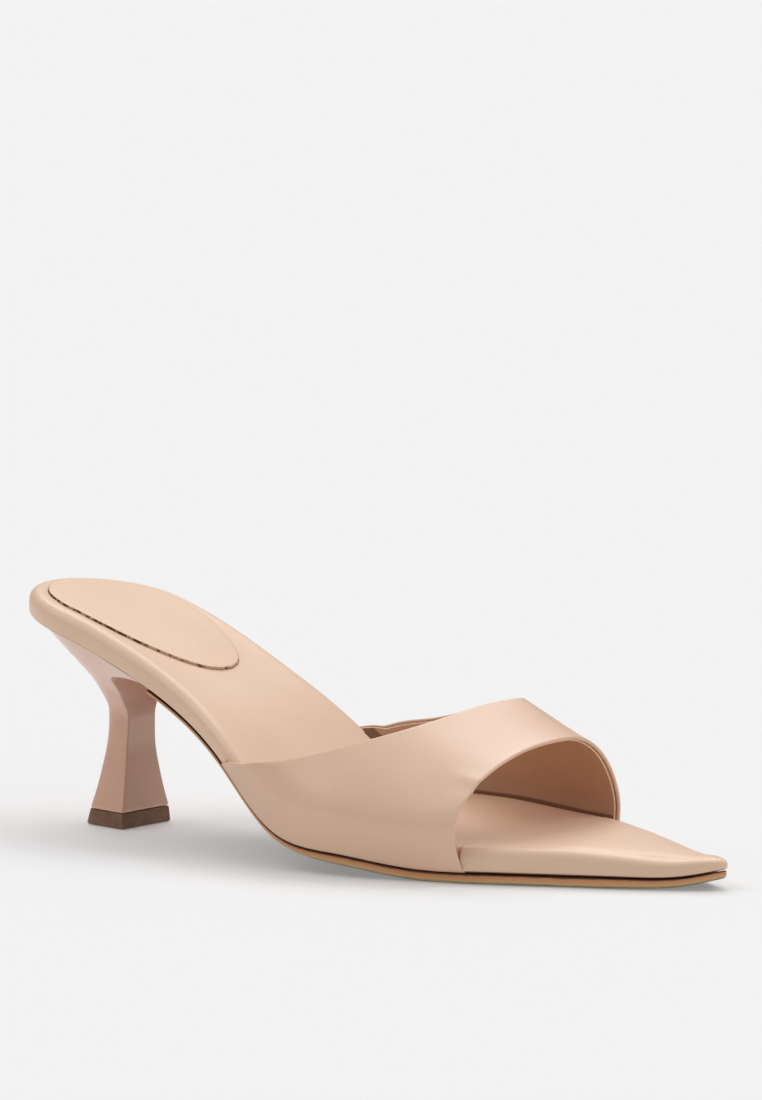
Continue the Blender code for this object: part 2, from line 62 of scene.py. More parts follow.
HEEL_PAD_THICKNESS = 0.0009
HEEL_ROUND = 0.112
TOE_ROUND = 0.0232
LATERAL_STANDS_OUT = 0.0007
MEDIAL_STANDS_OUT = 0.0015
OUTSOLE_START = 0.2525
OUTSOLE_INSET = 0.0003
WIDEST_LATERAL = 0.0128
WIDEST_MEDIAL = 0.0101
LOWER_SHARE = 0.22
HEEL_CENTRE_LOW = -0.0056
HEEL_CENTRE_TOP = -0.0005
HEEL_TURN = math.radians(-4.0)
HEEL_TURN_PLACE = 0.036

# Looks only: rounded edges, layers and soft forms, in metres

# Footbed: turned rims, the rounder and lower toe tip, the soft dish and crown, and the levels of
# its underside rounding over which painted seam shade fades
RIM_RADIUS = 0.0036
UNDER_RADIUS = 0.0014
TIP_RIM_SHARE = 0.80
TIP_RIM_REACH = 0.012
TIP_DROP = 0.0019
TIP_DROP_REACH = 0.0100
HEEL_DISH = -0.0006
BALL_CROWN = 0.0012
CROWN_STARTS_AT = 0.25
CROWN_REACH = 0.35
CROWN_END_REACH = 0.020
CROWN_POWER = 0.6
PAINTED_SHADE_LEVELS = (2.0, 4.0)

# Band: two leathers, their edges, and how far its ends cover the full side of the footbed
OUTER_LEATHER = 0.00110
LINING_SET_BACK = 0.00090
LAYER_GROOVE = 0.00008
EDGE_RADIUS = 0.00050
TUCK_RADIUS = 0.0016
COVERED_GIRTHS = (0.0, 0.03, 0.066, 0.917, 0.96, 1.0)
COVERED_MARGIN = 0.0012
RECESS_RAMP = 0.0004
# Painted shadow on the lining just above the footbed: heights where it is full and where it is
# gone, and the rows of the wall added for it
CONTACT_SHADE = (-0.0005, 0.0006)
CONTACT_STEPS = (0.0, 0.0006, 0.0012, 0.0018, 0.0024)
NORMAL_REACH = 0.0012
NORMAL_GIRTH = 0.003

# Heel, top piece and outsole: softened corners, foot and seat of the cover, bevel
BREAST_EDGE_RADIUS = 0.0007
COVER_FOOT_INSET = 0.00035
COVER_FOOT_SHARE = 0.010
SEAT_GROOVE = 0.0004
SEAT_GROOVE_SHARE = 0.983
OUTSOLE_BEVEL = 0.0010
OUTSOLE_BEVEL_SHARE = 0.30

# Heel pad: pinked edge, paler towards its ends, and the lift of its middle
PINK_PITCH = 0.00125
PINK_DEPTH = 0.00022
PAD_LIFT = 0.00005
PAD_FADE_FRONT = (0.030, 0.022)
PAD_FADE_BACK = (0.010, 0.008)
PAD_MIDDLE_MARGIN = 0.012
PAD_MIDDLE_START = 0.12
PAD_MIDDLE_RINGS = 8
PAD_EDGE_HEIGHT = 1.10
PAD_MIDDLE_RISE = 0.25
PAD_HALF_WIDTH = 0.35 * BALL_WIDTH
PAD_EDGE_ROWS = 4

# Counts of stations along the shoe, and of points across the faces above and below
FOOTBED_STATIONS = 150
FOOTBED_ACROSS = 25
OUTSOLE_STATIONS = 130
OUTSOLE_ACROSS = 9
PAD_STATIONS = 200
BAND_STATIONS = 56
BAND_GIRTHS = 110
HEEL_RING_COUNT = 90

# Camera, from the photograph's view of the shoe, in the shoe's own frame
CAMERA_AZIMUTH = math.radians(38.078)
CAMERA_PITCH = math.radians(6.800)
CAMERA_PLACE = (1.47070, -1.71111, 0.34965)
CAMERA_LENS = 240.9
CAMERA_SENSOR = 36.0

# Tables of shares: places along the shoe of SECTION_LENGTH, sideways measures of BALL_WIDTH,
# rises of SEAT_HEIGHT, heights of INSTEP_HEIGHT and thicknesses of OUTSOLE_THICKNESS
SOLE_COLUMNS = ("at", "lateral", "medial", "rise")
SOLE_SECTIONS = (
    (0.00, 0.311, 0.319, 0.998),
    (0.12, 0.345, 0.342, 0.906),
    (0.20, 0.347, 0.342, 0.795),
    (0.30, 0.372, 0.314, 0.629),
    (0.40, 0.460, 0.307, 0.421),
    (0.50, 0.546, 0.353, 0.162),
    (0.60, 0.549, 0.457, 0.098),
    (0.68, 0.473, 0.523, 0.055),
    (0.76, 0.392, 0.469, 0.0508),
    (0.84, 0.271, 0.338, 0.0508),
    (0.92, 0.150, 0.223, 0.0515),
    (0.97, 0.057, 0.159, 0.0578),
    (1.01, -0.024, 0.097, 0.0919),
)
OUTSOLE_COLUMNS = ("at", "thickness")
OUTSOLE_SECTIONS = (
    (0.25, 0.400),
    (0.50, 0.567),
    (0.60, 0.967),
    (0.90, 1.000),
    (1.01, 0.750),
)
UPPER_COLUMNS = ("at", "height")
UPPER_HEIGHTS = (
    (0.38, 1.092),
    (0.50, 0.930),
    (0.60, 0.741),
    (0.68, 0.629),
    (0.76, 0.481),
    (0.82, 0.407),
)
GIRTH_COLUMNS = ("at", "ridge", "lateral_bulge", "medial_bulge", "lateral_full", "medial_full")
UPPER_GIRTH = (
    (0.40, 0.134, 0.029, 0.041, 2.24, 1.75),
    (0.60, 0.216, 0.042, 0.021, 1.57, 1.39),
    (0.80, 0.145, 0.058, 0.011, 2.18, 1.88),
)
EDGE_COLUMNS = ("girth", "back", "front")
UPPER_EDGES = (
    (0.00, 0.3980, 0.7483),
    (0.15, 0.4854, 0.7497),
    (0.30, 0.6206, 0.7536),
    (0.42, 0.6637, 0.7574),
    (0.52, 0.6743, 0.7625),
    (0.65, 0.6237, 0.7604),
    (0.80, 0.4846, 0.7532),
    (0.92, 0.4145, 0.7515),
    (1.00, 0.3832, 0.7503),
)
HEEL_COLUMNS = ("up", "back", "front", "half_width", "full", "taper", "hollow")
HEEL_RINGS = (
    (0.00, 0.1096, 0.1752, 0.135, 9.0, 0.12, 0.000),
    (0.20, 0.1164, 0.1668, 0.104, 7.0, 0.11, 0.000),
    (0.40, 0.1198, 0.1604, 0.083, 5.5, 0.10, 0.000),
    (0.55, 0.1168, 0.1588, 0.078, 4.5, 0.09, 0.000),
    (0.68, 0.1000, 0.1560, 0.114, 3.4, 0.07, 0.012),
    (0.80, 0.0748, 0.1572, 0.183, 3.0, 0.04, 0.036),
    (0.90, 0.0384, 0.1932, 0.252, 2.6, 0.02, 0.048),
    (1.00, 0.0048, 0.2472, 0.316, 2.5, 0.00, 0.036),
)
PAD_COLUMNS = ("at", "lateral", "medial")
PAD_SECTIONS = (
    (0.022, 0.040, 0.040),
    (0.035, 0.122, 0.125),
    (0.050, 0.181, 0.185),
    (0.075, 0.235, 0.238),
    (0.108, 0.269, 0.270),
    (0.141, 0.271, 0.272),
    (0.176, 0.258, 0.262),
    (0.201, 0.240, 0.243),
    (0.229, 0.206, 0.206),
    (0.253, 0.165, 0.164),
    (0.268, 0.127, 0.126),
    (0.280, 0.077, 0.073),
    (0.285, 0.030, 0.024),
)
# Rings of the pad's edge: inset, height share of the pad, share of the pinking
PAD_PROFILE = (
    (0.00025, 0.00, 0.00),
    (0.00000, 0.00, 1.00),
    (0.00000, 0.45, 1.00),
    (0.00003, 0.72, 1.00),
    (0.00014, 0.92, 0.70),
    (0.00060, 1.00, 0.15),
    (0.00150, 1.04, 0.00),
    (0.00400, PAD_EDGE_HEIGHT, 0.00),
)
# Rings of the top piece: height and step outwards
TOP_PIECE_PROFILE = (
    (0.0, -0.0005),
    (0.0003, -0.0001),
    (0.0008, 0.0),
    ((TOP_PIECE_HEIGHT - PIECE_GAP) * 0.5, 0.0),
    (TOP_PIECE_HEIGHT - PIECE_GAP - 0.0002, 0.0),
    (TOP_PIECE_HEIGHT - PIECE_GAP, -0.0002),
)
# Outsole's edge above its bevel: further inset and share of the thickness
OUTSOLE_EDGE = (
    (0.0, 0.55),
    (0.0, 0.80),
    (0.00010, 0.92),
    (0.00035, 1.0),
)
# Soft creases of the band: place, half length, half width and height of each ridge or trough
CREASE_COLUMNS = ("at", "girth", "reach", "spread", "height")
BAND_CREASES = (
    (0.754, 0.268, 0.060, 0.015, 0.00036),
    (0.754, 0.241, 0.048, 0.013, -0.00026),
    (0.660, 0.310, 0.150, 0.050, 0.00040),
    (0.600, 0.190, 0.140, 0.045, -0.00030),
)


def column(table, names, wanted):
    """Values of one named column."""
    place = names.index(wanted)
    return np.array([row[place] for row in table], dtype=float)


def spline(knots, values, where):
    """Natural cubic curve through the table values."""
    count = len(knots)
    step = np.diff(knots)
    matrix = np.eye(count)
    right = np.zeros(count)
    for row in range(1, count - 1):
        matrix[row, row - 1:row + 2] = (step[row - 1], 2.0 * (step[row - 1] + step[row]), step[row])
        rise_after = (values[row + 1] - values[row]) / step[row]
        rise_before = (values[row] - values[row - 1]) / step[row - 1]
        right[row] = 6.0 * (rise_after - rise_before)
    bend = np.linalg.solve(matrix, right)
    where = np.asarray(where, dtype=float)
    cell = np.clip(np.searchsorted(knots, where, side="right") - 1, 0, count - 2)
    width = step[cell]
    low = where - knots[cell]
    high = knots[cell + 1] - where
    curve = bend[cell] * high ** 3 / (6.0 * width) + bend[cell + 1] * low ** 3 / (6.0 * width)
    curve = curve + (values[cell] / width - bend[cell] * width / 6.0) * high
    return curve + (values[cell + 1] / width - bend[cell + 1] * width / 6.0) * low


def end_tangent(step_a, step_b, slope_a, slope_b):
    """Three point end slope kept within the shape of the data."""
    tangent = ((2.0 * step_a + step_b) * slope_a - step_a * slope_b) / (step_a + step_b)
    if tangent * slope_a <= 0.0:
        return 0.0
    if slope_a * slope_b < 0.0 and abs(tangent) > 3.0 * abs(slope_a):
        return 3.0 * slope_a
    return tangent


def even_curve(knots, values, where):
    """Monotone smooth curve through the table values, with no overshoot."""
    step = np.diff(knots)
    slope = np.diff(values) / step
    tangent = np.zeros(len(knots))
    for place in range(1, len(knots) - 1):
        before, after = slope[place - 1], slope[place]
        if before * after > 0.0:
            first = 2.0 * step[place] + step[place - 1]
            second = step[place] + 2.0 * step[place - 1]
            tangent[place] = (first + second) / (first / before + second / after)
    tangent[0] = end_tangent(step[0], step[1], slope[0], slope[1])
    tangent[-1] = end_tangent(step[-1], step[-2], slope[-1], slope[-2])
    where = np.asarray(where, dtype=float)
    cell = np.clip(np.searchsorted(knots, where, side="right") - 1, 0, len(knots) - 2)
    width = step[cell]
    share = (where - knots[cell]) / width
    part_a = (1.0 + 2.0 * share) * (1.0 - share) ** 2 * values[cell]
    part_b = share * (1.0 - share) ** 2 * width * tangent[cell]
    part_c = share ** 2 * (3.0 - 2.0 * share) * values[cell + 1]
    part_d = share ** 2 * (share - 1.0) * width * tangent[cell + 1]
    return part_a + part_b + part_c + part_d


def smooth(share):
    """Soft step from 0 to 1."""
    share = np.clip(share, 0.0, 1.0)
    return share * share * (3.0 - 2.0 * share)


SOLE_AT = column(SOLE_SECTIONS, SOLE_COLUMNS, "at") * SECTION_LENGTH
SOLE_LATERAL = column(SOLE_SECTIONS, SOLE_COLUMNS, "lateral") * BALL_WIDTH
SOLE_MEDIAL = column(SOLE_SECTIONS, SOLE_COLUMNS, "medial") * BALL_WIDTH
SOLE_RISE = column(SOLE_SECTIONS, SOLE_COLUMNS, "rise") * SEAT_HEIGHT


def side_lines(x):
    """Lateral and medial edge of the outline at x."""
    lateral = -spline(SOLE_AT, SOLE_LATERAL, x)
    medial = spline(SOLE_AT, SOLE_MEDIAL, x)
    heel = np.clip(1.0 - x / (HEEL_ROUND * SECTION_LENGTH), 0.0, 1.0)
    toe_long = TOE_ROUND * SECTION_LENGTH
    toe = np.clip((x - SHOE_LENGTH + toe_long) / toe_long, 0.0, 1.0)
    full = np.sqrt(np.clip(1.0 - heel ** 2, 0.0, 1.0)) * np.sqrt(np.clip(1.0 - toe ** 2, 0.0, 1.0))
    centre = 0.5 * (lateral + medial)
    return centre + (lateral - centre) * full, centre + (medial - centre) * full


def seat_line(x):
    """Height of the footbed underside at x."""
    return spline(SOLE_AT, SOLE_RISE, x)


def footbed_thickness(x):
    """Thickness of the footbed at x, thinner at the toe."""
    share = (x / SECTION_LENGTH - TOE_THINS_FROM) / (1.0 - TOE_THINS_FROM)
    drop = TIP_DROP * np.clip((x - SHOE_LENGTH + TIP_DROP_REACH) / TIP_DROP_REACH, 0.0, 1.0) ** 2
    return FOOTBED_THICKNESS + (TOE_THICKNESS - FOOTBED_THICKNESS) * smooth(share) - drop


def footbed_top(x):
    """Height of the footbed upper face at x."""
    return seat_line(x) + footbed_thickness(x)


def outsole_thickness(x):
    """Thickness of the outsole at x."""
    at = column(OUTSOLE_SECTIONS, OUTSOLE_COLUMNS, "at") * SECTION_LENGTH
    share = np.interp(x, at, column(OUTSOLE_SECTIONS, OUTSOLE_COLUMNS, "thickness"))
    return OUTSOLE_THICKNESS * share


def upper_edges(girth):
    """Back and front place of the upper's edges at a girth share."""
    at = column(UPPER_EDGES, EDGE_COLUMNS, "girth")
    back = spline(at, column(UPPER_EDGES, EDGE_COLUMNS, "back"), girth)
    front = spline(at, column(UPPER_EDGES, EDGE_COLUMNS, "front"), girth)
    return back * SECTION_LENGTH, front * SECTION_LENGTH


def upper_points(x, girth):
    """Points of the outer face of the upper, with its lower edge tucked in."""
    x, girth = np.broadcast_arrays(np.asarray(x, dtype=float), np.asarray(girth, dtype=float))
    at = column(UPPER_HEIGHTS, UPPER_COLUMNS, "at") * SECTION_LENGTH
    heights = column(UPPER_HEIGHTS, UPPER_COLUMNS, "height") * INSTEP_HEIGHT
    girth_at = column(UPPER_GIRTH, GIRTH_COLUMNS, "at") * SECTION_LENGTH
    held = np.clip(x, girth_at[0], girth_at[-1])
    ridge, lateral_bulge, medial_bulge, lateral_full, medial_full = [
        even_curve(girth_at, column(UPPER_GIRTH, GIRTH_COLUMNS, name), held)
        for name in GIRTH_COLUMNS[1:]
    ]
    ridge = ridge * BALL_WIDTH
    lateral, medial = side_lines(x)
    low = seat_line(x)
    crown = low + FOOTBED_THICKNESS + even_curve(at, heights, x)
    far = girth > 0.5
    share = np.where(far, (1.0 - girth) * 2.0, girth * 2.0)
    full = np.where(far, medial_full, lateral_full)
    outward = np.where(far, 1.0, -1.0)
    foot = np.where(far, medial + MEDIAL_STANDS_OUT, lateral - LATERAL_STANDS_OUT)
    bulge = np.where(far, medial_bulge, lateral_bulge) * BALL_WIDTH
    side = foot + outward * bulge
    widest = low + np.where(far, WIDEST_MEDIAL, WIDEST_LATERAL)
    part = np.clip(share / LOWER_SHARE, 0.0, 1.0)
    turn = np.clip((share - LOWER_SHARE) / (1.0 - LOWER_SHARE), 0.0, 1.0) * math.pi / 2.0
    out = np.abs(np.cos(turn)) ** (2.0 / full)
    lift = np.abs(np.sin(turn)) ** (2.0 / full)
    lower_y = foot + (side - foot) * np.sin(part * math.pi / 2.0)
    lower_z = low + (widest - low) * part
    over = share > LOWER_SHARE
    y = np.where(over, ridge + (side - ridge) * out, lower_y)
    z = np.where(over, widest + (crown - widest) * lift, lower_z)
    under = np.clip(TUCK_RADIUS - (z - low), 0.0, TUCK_RADIUS)
    y = y - outward * (TUCK_RADIUS - np.sqrt(TUCK_RADIUS ** 2 - under ** 2))
    return np.stack([x, y, z], axis=-1)


def crease_lift(x, girth):
    """Height of the soft creases of the band at x and girth."""
    at, place, reach, spread, height = [
        column(BAND_CREASES, CREASE_COLUMNS, name) for name in CREASE_COLUMNS
    ]
    along = smooth(1.0 - np.abs(x[..., None] / SECTION_LENGTH - at) / reach)
    across = np.exp(-((girth[..., None] - place) / spread) ** 2)
    return (height * along * across).sum(axis=-1)


def upper_normals(x, girth):
    """Outward direction of the upper's outer face."""
    along = upper_points(x + NORMAL_REACH, girth) - upper_points(x - NORMAL_REACH, girth)
    ahead = upper_points(x, np.minimum(girth + NORMAL_GIRTH, 1.0))
    behind = upper_points(x, np.maximum(girth - NORMAL_GIRTH, 0.0))
    normal = np.cross(along, ahead - behind)
    return normal / np.linalg.norm(normal, axis=-1, keepdims=True)


def recess_depth(stations, girth):
    """Depth of the side recess in which the upper lies against the footbed."""
    start, end = upper_edges(girth)
    rise = smooth((stations - start - COVERED_MARGIN) / RECESS_RAMP)
    fall = smooth((end - COVERED_MARGIN - stations) / RECESS_RAMP)
    stands_out = LATERAL_STANDS_OUT if girth < 0.5 else MEDIAL_STANDS_OUT
    return (UPPER_WALL + PIECE_GAP - stands_out) * np.minimum(rise, fall)


def heel_ring(up, low_height, top_gap, corner):
    """One ring of the heel, with rounded corners at the breast and a rounded back."""
    ups = column(HEEL_RINGS, HEEL_COLUMNS, "up")
    back, front, half, full, taper, hollow = [
        float(even_curve(ups, column(HEEL_RINGS, HEEL_COLUMNS, name), up))
        for name in HEEL_COLUMNS[1:]
    ]
    back = back * SECTION_LENGTH
    front = front * SECTION_LENGTH
    half = half * BALL_WIDTH
    hollow = hollow * BALL_WIDTH
    centre = HEEL_CENTRE_LOW + (HEEL_CENTRE_TOP - HEEL_CENTRE_LOW) * up
    middle = np.linspace(-85.0, 85.0, 69)
    turns = np.radians(np.concatenate([[-90.0, -89.3, -88.0], middle, [88.0, 89.3, 90.0]]))
    out = np.abs(np.cos(turns)) ** (2.0 / full)
    side = np.copysign(np.abs(np.sin(turns)) ** (2.0 / full), np.sin(turns))
    round_x = front - (front - back) * out
    round_y = half * side * (1.0 - taper * out)
    shares = np.linspace(1.0, -1.0, 19)[1:-1]
    flat_x = front - hollow * (1.0 - shares ** 2)
    flat_y = half * shares
    plan = np.stack([np.concatenate([round_x, flat_x]), np.concatenate([round_y, flat_y])], axis=1)
    if corner > 0.0:
        plan = soften_corners(plan, (0, len(turns) - 1), corner)
    x, y = plan[:, 0], plan[:, 1]
    turned = y + centre + math.tan(HEEL_TURN) * (x - HEEL_TURN_PLACE) * (1.0 - up)
    top = seat_line(x) - top_gap
    return np.stack([x, turned, low_height + up * (top - low_height)], axis=1)


def soften_corners(plan, corners, radius):
    """Closed line with each named corner drawn as a short round."""
    total = len(plan)
    lengths = np.linalg.norm(np.roll(plan, -1, axis=0) - plan, axis=1)
    place = np.concatenate([[0.0], np.cumsum(lengths)])
    ring = np.vstack([plan, plan[:1]])
    whole = place[-1]

    def at(distance):
        """Point of the line at a distance along it."""
        distance = distance % whole
        return np.array([np.interp(distance, place, ring[:, side]) for side in (0, 1)])

    result = []
    steps = 6
    for step in range(total):
        apart = [abs(place[step] - place[corner]) for corner in corners]
        if min(min(gap, whole - gap) for gap in apart) >= radius:
            result.append(plan[step])
        elif step in corners:
            before, tip, after = at(place[step] - radius), plan[step], at(place[step] + radius)
            for turn in np.linspace(0.0, 1.0, steps):
                bend = (1 - turn) ** 2 * before + 2 * turn * (1 - turn) * tip
                result.append(bend + turn ** 2 * after)
    return np.array(result)


# The shoe's own frame against the row frame, from the top piece
TOP_RING = heel_ring(0.0, 0.0, 0.0, 0.0)
TOP_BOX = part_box("top_piece")
TOP_LOW = TOP_RING.min(axis=0) - (TOP_PIECE_BACK_FLARE, TOP_PIECE_SIDE_FLARE, 0.0)
TOP_HIGH = TOP_RING.max(axis=0) + (TOP_PIECE_FRONT_FLARE, TOP_PIECE_SIDE_FLARE, 0.0)
SHIFT = (np.array(TOP_BOX[0]) + np.array(TOP_BOX[1]) - TOP_LOW - TOP_HIGH) / 2.0
SHIFT[2] = 0.0


# Mesh helpers
def welded(points, faces, marks, kinds):
    """The same surface with points that lie in one place made one point."""
    steps = np.round(points * 1e6).astype(np.int64)
    _, first, number = np.unique(steps, axis=0, return_index=True, return_inverse=True)
    number = number.reshape(-1)
    kept_faces, kept_kinds = [], []
    for face, kind in zip(faces, kinds):
        corners = [int(number[corner]) for corner in face]
        corners = [corner for place, corner in enumerate(corners) if corner != corners[place - 1]]
        if len(set(corners)) == len(corners) and len(corners) > 2:
            kept_faces.append(tuple(corners))
            kept_kinds.append(kind)
    kept_marks = {mark: np.asarray(values)[first] for mark, values in marks.items()}
    return points[first], kept_faces, kept_marks, kept_kinds


def make_piece(name, points, faces, materials, marks=None, face_material=None):
    """Object in the row frame, riding on the root body."""
    if face_material is None:
        face_material = [0] * len(faces)
    points, faces, marks, kinds = welded(points, faces, marks or {}, face_material)
    mesh = bpy.data.meshes.new(name)
    mesh.from_pydata([tuple(point) for point in points + SHIFT], [], faces)
    for material in materials:
        mesh.materials.append(material)
    for mark, values in marks.items():
        layer = mesh.attributes.new(mark, "FLOAT", "POINT")
        layer.data.foreach_set("value", np.asarray(values, dtype=np.float32))
    mesh.polygons.foreach_set("material_index", np.asarray(kinds, dtype=np.int32))
    mesh.polygons.foreach_set("use_smooth", np.ones(len(mesh.polygons), dtype=bool))
    mesh.update()
    piece = bpy.data.objects.new(name, mesh)
    bpy.context.scene.collection.objects.link(piece)
    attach(piece, "root")
    return piece


def tube_faces(rows, columns, flip):
    """Faces between closed rows of the same length."""
    faces = []
    for row in range(rows - 1):
        for step in range(columns):
            after = (step + 1) % columns
            low, high = row * columns, (row + 1) * columns
            face = (low + step, low + after, high + after, high + step)
            faces.append(face[::-1] if flip else face)
    return faces


def end_faces(rows, columns, flips):
    """Faces that close the first and the last row, joined across from its first point."""
    faces = []
    for row, flip in zip((0, rows - 1), flips):
        start, last = row * columns, (row + 1) * columns - 1
        for step in range(columns // 2 - 1):
            face = (start + step, start + step + 1, last - 1 - step, last - step)
            faces.append(face[::-1] if flip else face)
    return faces


def plan_sides(stations, inset, recess_lateral, recess_medial):
    """Lateral and medial plan lines moved inwards, square to the outline."""
    lateral, medial = side_lines(stations)
    near = np.stack([stations, lateral], axis=1)
    far = np.stack([stations, medial], axis=1)
    tip = smooth((SHOE_LENGTH - stations) / TIP_RIM_REACH)
    inset = inset * (TIP_RIM_SHARE + (1.0 - TIP_RIM_SHARE) * tip)
    result = []
    for line, sign, recess in ((near, 1.0, recess_lateral), (far, -1.0, recess_medial)):
        ahead = np.gradient(line, axis=0)
        if stations[0] < 1e-6:
            ahead[0] = (0.0, -sign)
        if stations[-1] > SHOE_LENGTH - 1e-6:
            ahead[-1] = (0.0, sign)
        ahead = ahead / np.linalg.norm(ahead, axis=1)[:, None]
        inward = np.stack([-ahead[:, 1], ahead[:, 0]], axis=1) * sign
        moved = line + inward * (inset + recess)[:, None]
        centre = (lateral + medial) / 2.0
        moved[:, 0] = np.minimum(moved[:, 0], SHOE_LENGTH - inset)
        moved[:, 1] = centre - sign * np.maximum(sign * (centre - moved[:, 1]), 0.0)
        result.append(moved)
    return result


def layered_plate(stations, profile, base, lift, across, top, recess=True):
    """Plate with a turned edge profile; the faces above and below are filled across."""
    rings_near, rings_far = [], []
    for inset, height in profile:
        zero = np.zeros(len(stations))
        near_recess, far_recess = zero, zero
        if recess:
            near_girth = LOWER_SHARE * min(height / WIDEST_LATERAL, 1.0) / 2.0
            far_girth = 1.0 - LOWER_SHARE * min(height / WIDEST_MEDIAL, 1.0) / 2.0
            near_recess = recess_depth(stations, near_girth)
            far_recess = recess_depth(stations, far_girth)
        near, far = plan_sides(stations, zero + inset, near_recess, far_recess)
        rings_near.append(np.column_stack([near, base(near[:, 0]) + lift(near[:, 0], height)]))
        rings_far.append(np.column_stack([far, base(far[:, 0]) + lift(far[:, 0], height)]))
    count = len(stations)
    levels = len(profile)
    columns = 2 * levels + 2 * across
    points = np.zeros((count, columns, 3))
    up = np.zeros((count, columns))
    spread = np.arange(1, across + 1) / (across + 1.0)
    for level in range(levels):
        points[:, level] = rings_near[level]
        points[:, levels + across + level] = rings_far[levels - 1 - level]
        up[:, level] = level / (levels - 1.0)
        up[:, levels + across + level] = 1.0 - level / (levels - 1.0)
    for number, share in enumerate(spread):
        one, two = rings_near[-1], rings_far[-1]
        place = one + (two - one) * share
        place[:, 2] = top(place[:, 0], share)
        points[:, levels + number] = place
        up[:, levels + number] = 1.0
        one, two = rings_far[0], rings_near[0]
        place = one + (two - one) * share
        place[:, 2] = base(place[:, 0]) + lift(place[:, 0], profile[0][1])
        points[:, 2 * levels + across + number] = place
    faces = tube_faces(count, columns, False) + end_faces(count, columns, (False, True))
    return points.reshape(-1, 3), faces, up.reshape(-1)


# Materials
DARK_DRIFT = (0.965, 0.955, 0.935)
LIGHT_DRIFT = (1.02, 1.025, 1.03)


def shader_of(name, roughness, coat, coat_roughness, specular=0.5):
    """New material with its main shader's plain values set."""
    material = bpy.data.materials.new(name)
    material.use_nodes = True
    tree = material.node_tree
    shader = tree.nodes["Principled BSDF"]
    shader.inputs["Roughness"].default_value = roughness
    shader.inputs["Coat Weight"].default_value = coat
    shader.inputs["Coat Roughness"].default_value = coat_roughness
    shader.inputs["Sheen Weight"].default_value = 0.0
    shader.inputs["Specular IOR Level"].default_value = specular
    return material, tree, shader


def add(tree, kind, values=None, links=None, **settings):
    """Node with its settings, socket values and incoming links."""
    item = tree.nodes.new(kind)
    for name, value in settings.items():
        setattr(item, name, value)
    for name, value in (values or {}).items():
        item.inputs[name].default_value = value
    for name, source in (links or {}).items():
        tree.links.new(source, item.inputs[name])
    return item


def ramp(tree, source, stops):
    """Colour ramp through stops of a place and a colour."""
    item = add(tree, "ShaderNodeValToRGB", links={"Fac": source})
    bands = item.color_ramp.elements
    while len(bands) < len(stops):
        bands.new(0.5)
    for band, (place, colour) in zip(bands, stops):
        band.position = place
        band.color = colour if len(colour) == 4 else (*colour, 1.0)
    return item


def grey(value):
    """Grey of one value, opaque."""
    return (value, value, value, 1.0)


def noise(tree, where, scale, detail, roughness=0.5):
    """Soft noise at a scale, in the object's own coordinates."""
    values = {"Scale": scale, "Detail": detail, "Roughness": roughness}
    return add(tree, "ShaderNodeTexNoise", values, {"Vector": where})


def multiplied(tree, one, two):
    """Product of two colours."""
    mixed = add(tree, "ShaderNodeMix", {"Factor": 1.0}, data_type="RGBA", blend_type="MULTIPLY")
    tree.links.new(one, mixed.inputs["A"])
    tree.links.new(two, mixed.inputs["B"])
    return mixed.outputs["Result"]


def raised(tree, shader, height, strength, distance):
    """Bump from a height on the shader's normal."""
    values = {"Strength": strength, "Distance": distance}
    bump = add(tree, "ShaderNodeBump", values, {"Height": height})
    tree.links.new(bump.outputs["Normal"], shader.inputs["Normal"])


def leather(name, colour, roughness=0.42, coat=0.12, coat_roughness=0.30, grain=0.00002, painted_seam_shade=None):
    """Smooth coated leather: soft colour drift and fine grain, with painted shade along a marked
    seam.
    """
    material, tree, shader = shader_of(name, roughness, coat, coat_roughness)
    where = add(tree, "ShaderNodeTexCoord").outputs["Object"]
    drift = noise(tree, where, 22.0, 3.0, 0.45)
    dark = tuple(c * k for c, k in zip(colour, DARK_DRIFT))
    light = tuple(min(c * k, 1.0) for c, k in zip(colour, LIGHT_DRIFT))
    tone = ramp(tree, drift.outputs["Fac"], ((0.35, dark), (0.65, light)))
    cell_sizes = {"Scale": 1500.0, "Smoothness": 0.35}
    cells = add(tree, "ShaderNodeTexVoronoi", cell_sizes, {"Vector": where}, feature="SMOOTH_F1")
    pores = ramp(tree, cells.outputs["Distance"], ((0.15, grey(0.0)), (0.75, grey(1.0))))
    fine = noise(tree, where, 380.0, 5.0, 0.6)
    both = {"A": pores.outputs["Color"], "B": fine.outputs["Fac"]}
    relief = add(tree, "ShaderNodeMix", {"Factor": 0.45}, both)
    speck = ramp(tree, relief.outputs["Result"], ((0.30, grey(0.975)), (0.70, grey(1.0))))
    result = multiplied(tree, tone.outputs["Color"], speck.outputs["Color"])
    # Painted shade along the marked seam, darkest where the mark is high
    if painted_seam_shade is not None:
        height = add(tree, "ShaderNodeAttribute", attribute_name="painted_seam_shade").outputs["Fac"]
        shade = ramp(tree, height, ((0.30, (1.0, 1.0, 1.0)), (0.75, painted_seam_shade)))
        result = multiplied(tree, result, shade.outputs["Color"])
    tree.links.new(result, shader.inputs["Base Color"])
    shiny, dull = grey(roughness - 0.03), grey(roughness + 0.04)
    gloss = ramp(tree, fine.outputs["Fac"], ((0.3, shiny), (0.7, dull)))
    tree.links.new(gloss.outputs["Color"], shader.inputs["Roughness"])
    raised(tree, shader, relief.outputs["Result"], 0.5, grain)
    return material


NUDE = (0.80, 0.552, 0.392)
NUDE_PAD = (0.81, 0.562, 0.402)
NUDE_BAND = (0.762, 0.503, 0.355)
LINING_TONE = (0.60, 0.352, 0.221)
HEEL_TONE = (0.735, 0.435, 0.315)

